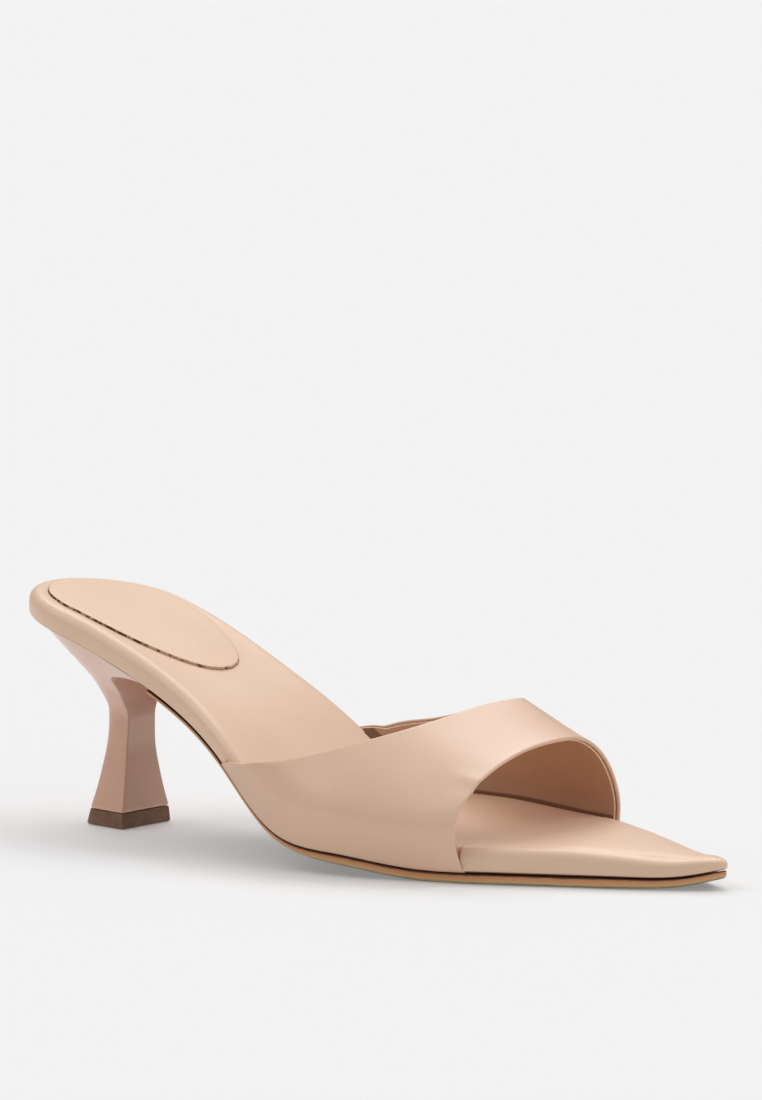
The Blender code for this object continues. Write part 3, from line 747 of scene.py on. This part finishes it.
# The footbed and the lining carry painted shade along their seams
nude = leather("footbed_nude", NUDE, painted_seam_shade=(0.30, 0.20, 0.15))
nude_pad = leather("heel_pad_nude", NUDE_PAD, roughness=0.46, coat=0.06)
nude_upper = leather("upper_nude", NUDE_BAND, roughness=0.38, coat=0.20, coat_roughness=0.26)
nude_lining = leather(
    "lining_nude", LINING_TONE, roughness=0.52, coat=0.0, grain=0.00003, painted_seam_shade=(0.42, 0.33, 0.28)
)
cover = leather(
    "heel_cover_nude", HEEL_TONE, roughness=0.30, coat=0.55, coat_roughness=0.16, grain=0.000008
)


def edge_and_shade_paint(name, colour, roughness=0.5):
    """Leather paint with a fibrous unevenness, for cut edges and for painted shade."""
    material, tree, shader = shader_of(name, roughness, 0.15, 0.3)
    where = add(tree, "ShaderNodeTexCoord").outputs["Object"]
    fibre = noise(tree, where, 900.0, 4.0)
    dark = tuple(c * 0.80 for c in colour)
    tone = ramp(tree, fibre.outputs["Fac"], ((0.35, dark), (0.62, colour)))
    tree.links.new(tone.outputs["Color"], shader.inputs["Base Color"])
    raised(tree, shader, fibre.outputs["Fac"], 0.5, 0.00004)
    return material


def pinked_paint():
    """Dark brown pinked edge, broken by small worn spots."""
    material, tree, shader = shader_of("pad_pinked_edge", 0.7, 0.0, 0.3)
    where = add(tree, "ShaderNodeTexCoord").outputs["Object"]
    worn = noise(tree, where, 620.0, 2.0)
    end_fade = add(tree, "ShaderNodeAttribute", attribute_name="end_fade").outputs["Fac"]
    fade = add(tree, "ShaderNodeMath", {1: -0.13}, {0: end_fade}, operation="MULTIPLY")
    both = {0: worn.outputs["Fac"], 1: fade.outputs[0]}
    kept = add(tree, "ShaderNodeMath", None, both, operation="ADD")
    tone = ramp(tree, kept.outputs[0], (
        (0.36, (0.62, 0.40, 0.27)),
        (0.46, (0.20, 0.095, 0.050)),
        (0.60, (0.055, 0.024, 0.013)),
    ))
    tree.links.new(tone.outputs["Color"], shader.inputs["Base Color"])
    return material


# Painted shade: the outer leather's inner margin, shaded inside the band, drawn in a darker brown
folded_margin = edge_and_shade_paint("upper_folded_margin_painted_shade", (0.58, 0.30, 0.18))
lining_edge = edge_and_shade_paint("lining_cut_edge", (0.90, 0.68, 0.50))
pad_edge = pinked_paint()
# Painted shade: dark paint for the groove between the heel and the footbed
seat_shade = edge_and_shade_paint("heel_seat_painted_shade", (0.16, 0.080, 0.050), 0.7)


def outsole_material():
    """Moulded sole edge: orange brown with a tan line at the foot, and painted shade as a dark band
    along its top, under the upper, and on its underside.
    """
    material, tree, shader = shader_of("outsole_two_tone", 0.42, 0.15, 0.3)
    where = add(tree, "ShaderNodeTexCoord").outputs["Object"]
    up = add(tree, "ShaderNodeAttribute", attribute_name="up").outputs["Fac"]
    waver = noise(tree, where, 260.0, 3.0)
    shake = add(tree, "ShaderNodeMath", {1: 0.5}, {0: waver.outputs["Fac"]}, operation="SUBTRACT")
    small = add(tree, "ShaderNodeMath", {1: 0.16}, {0: shake.outputs[0]}, operation="MULTIPLY")
    height = add(tree, "ShaderNodeMath", {}, {0: up, 1: small.outputs[0]}, operation="ADD")
    # Painted shade: dark on the underside and the lower bevel, and dark along the top where the
    # upper overhangs the sole
    tone = ramp(tree, height.outputs[0], (
        (0.00, (0.10, 0.055, 0.030)),
        (0.14, (0.42, 0.28, 0.12)),
        (0.34, (0.58, 0.40, 0.17)),
        (0.46, (0.64, 0.300, 0.125)),
        (0.78, (0.56, 0.230, 0.095)),
        (0.91, (0.07, 0.026, 0.012)),
    ))
    tree.links.new(tone.outputs["Color"], shader.inputs["Base Color"])
    raised(tree, shader, waver.outputs["Fac"], 0.4, 0.00008)
    return material


def rubber_material():
    """Brown moulded top piece with fine scuffs."""
    material, tree, shader = shader_of("top_piece_brown", 0.5, 0.1, 0.35)
    where = add(tree, "ShaderNodeTexCoord").outputs["Object"]
    cloud = noise(tree, where, 320.0, 5.0, 0.6)
    tone = ramp(tree, cloud.outputs["Fac"], (
        (0.3, (0.150, 0.064, 0.027)),
        (0.7, (0.225, 0.104, 0.047)),
    ))
    tree.links.new(tone.outputs["Color"], shader.inputs["Base Color"])
    raised(tree, shader, cloud.outputs["Fac"], 0.5, 0.00004)
    return material


# Footbed
def fine_stations(count, start, extra=()):
    """Stations from start to the toe, closer together at both ends."""
    turn = np.linspace(0.0, math.pi, count)
    places = start + (1.0 - np.cos(turn)) / 2.0 * (SHOE_LENGTH - start)
    return np.array(sorted(set(np.round(np.concatenate([places, np.asarray(extra)]), 7))))


def footbed_crown(x, share):
    """Soft dish under the heel and soft crown under the ball."""
    along = smooth((x / SECTION_LENGTH - CROWN_STARTS_AT) / CROWN_REACH)
    rise = HEEL_DISH + (BALL_CROWN - HEEL_DISH) * along
    narrow = smooth(np.minimum(x, SHOE_LENGTH - x) / CROWN_END_REACH)
    return rise * narrow * (4.0 * share * (1.0 - share)) ** CROWN_POWER


def footbed_surface(x, share):
    """Height of the padded upper face of the footbed."""
    return footbed_top(x) + footbed_crown(x, share)


def make_footbed():
    """Padded footbed, with close stations where the band's edges cross its sides."""
    back, front = upper_edges(np.array(COVERED_GIRTHS))
    back_end = back.max() + COVERED_MARGIN + RECESS_RAMP
    front_start = front.min() - COVERED_MARGIN - RECESS_RAMP
    extra = list(np.arange(back.min(), back_end, RECESS_RAMP / 2.0))
    extra.extend(np.arange(front_start, front.max(), RECESS_RAMP / 4.0))
    stations = fine_stations(FOOTBED_STATIONS, 0.0, extra)
    profile = []
    for turn in np.radians(np.linspace(0.0, 90.0, 6)):
        inset = UNDER_RADIUS * (1.0 - math.sin(turn))
        profile.append((inset, UNDER_RADIUS * (1.0 - math.cos(turn))))
    for turn in np.radians(np.linspace(0.0, 90.0, 10)):
        inset = RIM_RADIUS * (1.0 - math.cos(turn))
        profile.append((inset, FOOTBED_THICKNESS - RIM_RADIUS * (1.0 - math.sin(turn))))
    points, faces, up = layered_plate(
        stations,
        profile,
        seat_line,
        lambda x, height: height * footbed_thickness(x) / FOOTBED_THICKNESS,
        FOOTBED_ACROSS,
        footbed_surface,
    )
    # Painted shade on the underside rounding, where the footbed meets the heel and the outsole
    painted_seam_shade = np.interp(up * (len(profile) - 1.0), PAINTED_SHADE_LEVELS, (1.0, 0.0))
    piece = make_piece("padded_footbed", points, faces, [nude], {"painted_seam_shade": painted_seam_shade})
    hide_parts("footbed")


# Outsole
def make_outsole():
    """Moulded outsole with a bevelled lower edge."""
    stations = fine_stations(OUTSOLE_STATIONS, OUTSOLE_START * SECTION_LENGTH)
    profile = []
    for share in np.linspace(0.0, 1.0, 5):
        turn = share * math.pi / 2.0
        inset = OUTSOLE_INSET + OUTSOLE_BEVEL * (1.0 - math.sin(turn))
        profile.append((inset, share * OUTSOLE_BEVEL_SHARE))
    for inset, share in OUTSOLE_EDGE:
        profile.append((OUTSOLE_INSET + inset, share))

    def base(x):
        """Height of the underside, never under the ground."""
        return np.maximum(seat_line(x) - PIECE_GAP - outsole_thickness(x), 0.0)

    def lift(x, share):
        """Height above the underside at a share of the thickness."""
        return share * (seat_line(x) - PIECE_GAP - base(x))

    def top(x, share):
        """Height of the upper face, level across."""
        return seat_line(x) - PIECE_GAP

    points, faces, up = layered_plate(
        stations, profile, base, lift, OUTSOLE_ACROSS, top, recess=False
    )
    levels = [share for inset, share in profile]
    order = np.interp(up, np.linspace(0.0, 1.0, len(levels)), levels)
    piece = make_piece("moulded_outsole", points, faces, [outsole_material()], {"up": order})
    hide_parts("outsole")


# Upper: outer leather and lining, each with rounded cut edges
def make_layer(name, depth, thick, set_back, leathers):
    """Band layer with the leathers of its outer face, its rounded edge and its inner face."""
    near_bottom = np.linspace(0.0, 1.0, 9) ** 1.6 * 0.05
    middle = np.linspace(0.05, 0.95, BAND_GIRTHS)
    above = FOOTBED_THICKNESS + np.array(CONTACT_STEPS)
    contact = 1.0 - LOWER_SHARE * above / WIDEST_MEDIAL / 2.0
    far_bottom = (1.0 - near_bottom)[::-1]
    girths = np.unique(np.concatenate([near_bottom[:-1], middle, far_bottom[1:], contact]))
    back, front = upper_edges(girths)
    back, front = back + set_back, front - set_back
    shares = np.linspace(0.0, 1.0, BAND_STATIONS)
    radius = min(EDGE_RADIUS, thick / 2.0)
    turns = np.radians(np.linspace(0.0, 90.0, 5))
    loops_x, loops_depth, kinds = [], [], []
    run = front - back - 2.0 * radius
    for share in shares:
        loops_x.append(back + radius + run * share)
        loops_depth.append(depth)
        kinds.append(0)
    for turn in turns[1:]:
        loops_x.append(front - radius + radius * math.sin(turn))
        loops_depth.append(depth + radius * (1.0 - math.cos(turn)))
        kinds.append(1)
    for turn in turns[::-1][:-1]:
        loops_x.append(front - radius + radius * math.sin(turn))
        loops_depth.append(depth + thick - radius * (1.0 - math.cos(turn)))
        kinds.append(1)
    for share in shares[::-1]:
        loops_x.append(back + radius + run * share)
        loops_depth.append(depth + thick)
        kinds.append(2)
    for turn in turns[1:]:
        loops_x.append(back + radius - radius * math.sin(turn))
        loops_depth.append(depth + thick - radius * (1.0 - math.cos(turn)))
        kinds.append(1)
    for turn in turns[::-1][:-1]:
        loops_x.append(back + radius - radius * math.sin(turn))
        loops_depth.append(depth + radius * (1.0 - math.cos(turn)))
        kinds.append(1)
    x = np.array(loops_x).T
    girth = girths[:, None] + np.zeros_like(x)
    inwards = np.array(loops_depth)[None, :] - crease_lift(x, girth)
    points = upper_points(x, girth) - upper_normals(x, girth) * inwards[..., None]
    floor = seat_line(x) - PIECE_GAP * 0.5
    points[..., 2] = np.maximum(points[..., 2], floor)
    rows, columns = x.shape
    ends = end_faces(rows, columns, (True, False))
    faces = tube_faces(rows, columns, True) + ends
    after = kinds[1:] + kinds[:1]
    around = [1 if 1 in pair else pair[0] for pair in zip(kinds, after)]
    face_kind = around * (rows - 1) + [1] * len(ends)
    # Painted shadow on the lining just above the footbed
    above_bed = points[..., 2] - footbed_top(x)
    marks = {"painted_seam_shade": np.interp(above_bed, CONTACT_SHADE, (1.0, 0.0)).reshape(-1)}
    piece = make_piece(name, points.reshape(-1, 3), faces, leathers, marks, face_kind)
    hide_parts("upper")


# Heel and top piece
def closed_rings(rings):
    """Points and faces of a solid through rings, closed with a fan at each end."""
    rows, columns = len(rings), len(rings[0])
    points = np.concatenate(rings)
    faces = tube_faces(rows, columns, True)
    hubs = np.array([rings[0].mean(axis=0), rings[-1].mean(axis=0)])
    total = len(points)
    points = np.concatenate([points, hubs])
    for row, hub, flip in ((0, total, False), (rows - 1, total + 1, True)):
        for step in range(columns):
            face = (row * columns + step, row * columns + (step + 1) % columns, hub)
            faces.append(face[::-1] if flip else face)
    return points, faces


def grown(ring, amount):
    """Ring moved outwards in plan by an amount."""
    middle = ring.mean(axis=0)
    away = ring[:, :2] - middle[:2]
    length = np.linalg.norm(away, axis=1)[:, None]
    result = ring.copy()
    result[:, :2] = ring[:, :2] + away / length * amount
    return result


def flared(ring, share):
    """Ring widened as the top piece is towards the ground."""
    low, high = ring.min(axis=0), ring.max(axis=0)
    middle = (low + high) / 2.0
    ahead = (ring[:, 0] - low[0]) / (high[0] - low[0])
    aside = (ring[:, 1] - middle[1]) / (high[1] - middle[1])
    result = ring.copy()
    result[:, 0] += share * (ahead * TOP_PIECE_FRONT_FLARE - (1.0 - ahead) * TOP_PIECE_BACK_FLARE)
    result[:, 1] += share * aside * TOP_PIECE_SIDE_FLARE
    return result


def make_heel():
    """Covered heel with a groove under the footbed, whose faces carry painted shade."""
    foot_ups = [0.0, 0.004, 0.010]
    seat_ups = [0.978, 0.981, 0.9825, 0.9835, 0.992, 1.0]
    ups = np.concatenate([foot_ups, np.linspace(0.02, 0.97, HEEL_RING_COUNT), seat_ups])
    rings = []
    for up in ups:
        ring = heel_ring(up, TOP_PIECE_HEIGHT, PIECE_GAP, BREAST_EDGE_RADIUS)
        if up < COVER_FOOT_SHARE:
            ring = grown(ring, -COVER_FOOT_INSET * (1.0 - up / COVER_FOOT_SHARE))
        if up > SEAT_GROOVE_SHARE:
            ring = grown(ring, -SEAT_GROOVE)
        rings.append(ring)
    points, faces = closed_rings(rings)
    # The cover's faces inside the groove, below the closing fans, painted dark as shade
    groove_from = (len(rings) - 3) * len(rings[0])
    groove_to = (len(rings) - 1) * len(rings[0])
    kinds = [1 if groove_from <= number < groove_to else 0 for number in range(len(faces))]
    piece = make_piece("covered_heel", points, faces, [cover, seat_shade], None, kinds)
    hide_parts("heel")


def make_top_piece():
    """Top piece, flared towards the ground, with softened edges."""
    high = TOP_PIECE_HEIGHT - PIECE_GAP
    base = heel_ring(0.0, 0.0, 0.0, BREAST_EDGE_RADIUS)
    rings = []
    for height, out in TOP_PIECE_PROFILE:
        ring = grown(flared(base, 1.0 - height / high), out)
        ring[:, 2] = height
        rings.append(ring)
    points, faces = closed_rings(rings)
    piece = make_piece("brown_top_piece", points, faces, [rubber_material()])
    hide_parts("top_piece")


# Heel pad with a pinked edge
def make_heel_pad():
    """Thin leather pad that follows the footbed."""
    at = column(PAD_SECTIONS, PAD_COLUMNS, "at") * SECTION_LENGTH
    lateral_at = column(PAD_SECTIONS, PAD_COLUMNS, "lateral") * BALL_WIDTH
    medial_at = column(PAD_SECTIONS, PAD_COLUMNS, "medial") * BALL_WIDTH
    turn = np.linspace(0.0, math.pi, PAD_STATIONS)
    places = at[0] + (1.0 - np.cos(turn)) / 2.0 * (at[-1] - at[0])
    near = np.stack([places, -even_curve(at, lateral_at, places)], axis=1)
    far = np.stack([places, even_curve(at, medial_at, places)], axis=1)
    ring = np.concatenate([near, far[::-1]])
    step = np.linalg.norm(np.roll(ring, -1, axis=0) - ring, axis=1)
    run = np.concatenate([[0.0], np.cumsum(step)])
    closed = np.vstack([ring, ring[:1]])
    teeth = int(round(run[-1] / PINK_PITCH))
    where = np.linspace(0.0, run[-1], 4 * teeth, endpoint=False)
    line = np.stack([np.interp(where, run, closed[:, side]) for side in (0, 1)], axis=1)
    ahead = np.roll(line, -3, axis=0) - np.roll(line, 3, axis=0)
    ahead = ahead / np.linalg.norm(ahead, axis=1)[:, None]
    outward = np.stack([ahead[:, 1], -ahead[:, 0]], axis=1)
    wave = np.abs(((where / PINK_PITCH) % 1.0) * 2.0 - 1.0)
    rings = []
    for inset, height, pinked in PAD_PROFILE:
        plan = line - outward * (inset + PINK_DEPTH * wave * pinked)[:, None]
        share = np.clip(plan[:, 1] / (2.0 * PAD_HALF_WIDTH) + 0.5, 0.0, 1.0)
        lift = footbed_surface(plan[:, 0], share) + PAD_LIFT + HEEL_PAD_THICKNESS * height
        rings.append(np.column_stack([plan, lift]))
    inner = rings[-1]
    held = np.clip(inner[:, 0], at[0] + PAD_MIDDLE_MARGIN, at[-1] - PAD_MIDDLE_MARGIN)
    centre_line = np.stack([held, inner[:, 1] * 0.0], axis=1)
    for share in np.linspace(PAD_MIDDLE_START, 1.0, PAD_MIDDLE_RINGS):
        plan = inner[:, :2] + (centre_line - inner[:, :2]) * share
        cross = np.clip(plan[:, 1] / (2.0 * PAD_HALF_WIDTH) + 0.5, 0.0, 1.0)
        height = PAD_EDGE_HEIGHT + PAD_MIDDLE_RISE * smooth(share)
        lift = footbed_surface(plan[:, 0], cross) + PAD_LIFT + HEEL_PAD_THICKNESS * height
        rings.append(np.column_stack([plan, lift]))
    points = np.concatenate(rings)
    columns = len(line)
    faces = tube_faces(len(rings), columns, False)
    kinds = []
    for row in range(len(rings) - 1):
        kinds.extend([1 if row < PAD_EDGE_ROWS else 0] * columns)
    faces.append(tuple(range(columns))[::-1])
    kinds.append(1)
    # The pinked edge grows paler towards the pad's front and back ends
    from_front = smooth((points[:, 0] - at[-1] + PAD_FADE_FRONT[0]) / PAD_FADE_FRONT[1])
    from_back = smooth((at[0] + PAD_FADE_BACK[0] - points[:, 0]) / PAD_FADE_BACK[1])
    end_fade = np.maximum(from_front, from_back)
    leathers = [nude_pad, pad_edge]
    piece = make_piece("pinked_heel_pad", points, faces, leathers, {"end_fade": end_fade}, kinds)
    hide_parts("heel_pad")


make_footbed()
make_outsole()
LINING_DEPTH = OUTER_LEATHER + LAYER_GROOVE
LINING_THICKNESS = UPPER_WALL - LINING_DEPTH
OUTER_LEATHERS = [nude_upper, nude_upper, folded_margin]
LINING_LEATHERS = [nude_lining, lining_edge, nude_lining]
make_layer("upper_outer_leather", 0.0, OUTER_LEATHER, 0.0, OUTER_LEATHERS)
make_layer("upper_lining", LINING_DEPTH, LINING_THICKNESS, LINING_SET_BACK, LINING_LEATHERS)
make_heel()
make_top_piece()
make_heel_pad()


# Camera
def make_camera():
    """Camera at the photograph's view of the shoe."""
    data = bpy.data.cameras.new("camera")
    camera = bpy.data.objects.new("camera", data)
    bpy.context.scene.collection.objects.link(camera)
    data.lens = CAMERA_LENS
    data.sensor_width = CAMERA_SENSOR
    data.clip_start = 0.1
    data.clip_end = 200.0
    ahead = np.array([
        -math.sin(CAMERA_AZIMUTH) * math.cos(CAMERA_PITCH),
        math.cos(CAMERA_AZIMUTH) * math.cos(CAMERA_PITCH),
        -math.sin(CAMERA_PITCH),
    ])
    right = np.array([math.cos(CAMERA_AZIMUTH), math.sin(CAMERA_AZIMUTH), 0.0])
    up = np.cross(right, ahead)
    turn = Matrix([[right[i], up[i], -ahead[i]] for i in range(3)])
    camera.matrix_world = Matrix.Translation(np.array(CAMERA_PLACE) + SHIFT) @ turn.to_4x4()
    bpy.context.scene.camera = camera


# Floor and light
FLOOR_REACH = 60.0
FLOOR_DROP = 0.0002
FLOOR_TONE = 0.63
FLOOR_GLOW = 0.222
WORLD_LIGHT = 0.38
# Lights: name, strength, angle in degrees, direction of the source
SOFT_LIGHTS = (
    ("back_light", 0.91, 34.0, (-0.395, 0.504, 0.770)),
    ("left_light", 0.53, 34.0, (-0.504, -0.395, 0.770)),
    ("top_light", 0.39, 40.0, (-0.031, 0.039, 1.000)),
    ("right_light", 0.73, 34.0, (0.349, 0.528, 0.770)),
    ("toe_light", 0.22, 34.0, (0.921, -0.120, 0.370)),
)


def make_floor():
    """Wide pale floor just under the sole."""
    mesh = bpy.data.meshes.new("floor")
    square = ((-1, -1), (1, -1), (1, 1), (-1, 1))
    corners = [(side * FLOOR_REACH, end * FLOOR_REACH, 0.0) for side, end in square]
    mesh.from_pydata(corners, [], [(0, 1, 2, 3)])
    floor = bpy.data.objects.new("floor", mesh)
    bpy.context.scene.collection.objects.link(floor)
    material, tree, shader = shader_of("floor_pale", 0.9, 0.0, 0.5, specular=0.1)
    shader.inputs["Base Color"].default_value = (FLOOR_TONE, FLOOR_TONE, FLOOR_TONE, 1.0)
    shader.inputs["Emission Color"].default_value = (1.0, 1.0, 1.0, 1.0)
    shader.inputs["Emission Strength"].default_value = FLOOR_GLOW
    mesh.materials.append(material)
    floor.location.z = -FLOOR_DROP


def make_sun(name, strength, angle, source):
    """Broad light that comes from the direction of its source."""
    data = bpy.data.lights.new(name, "SUN")
    data.energy = strength
    data.angle = math.radians(angle)
    lamp = bpy.data.objects.new(name, data)
    bpy.context.scene.collection.objects.link(lamp)
    direction = np.array(source) / np.linalg.norm(source)
    helper = np.cross((0.0, 1.0, 0.0), direction)
    helper = helper / np.linalg.norm(helper)
    third = np.cross(direction, helper)
    away = Matrix([[helper[i], third[i], direction[i]] for i in range(3)])
    lamp.matrix_world = away.to_4x4()


def make_world():
    """Even white light all round."""
    world = bpy.data.worlds.new("studio")
    world.use_nodes = True
    background = world.node_tree.nodes["Background"]
    background.inputs["Color"].default_value = (1.0, 1.0, 1.0, 1.0)
    background.inputs["Strength"].default_value = WORLD_LIGHT
    bpy.context.scene.world = world


make_camera()
make_floor()
make_world()
for light in SOFT_LIGHTS:
    make_sun(*light)
bpy.context.scene.view_settings.view_transform = "Standard"
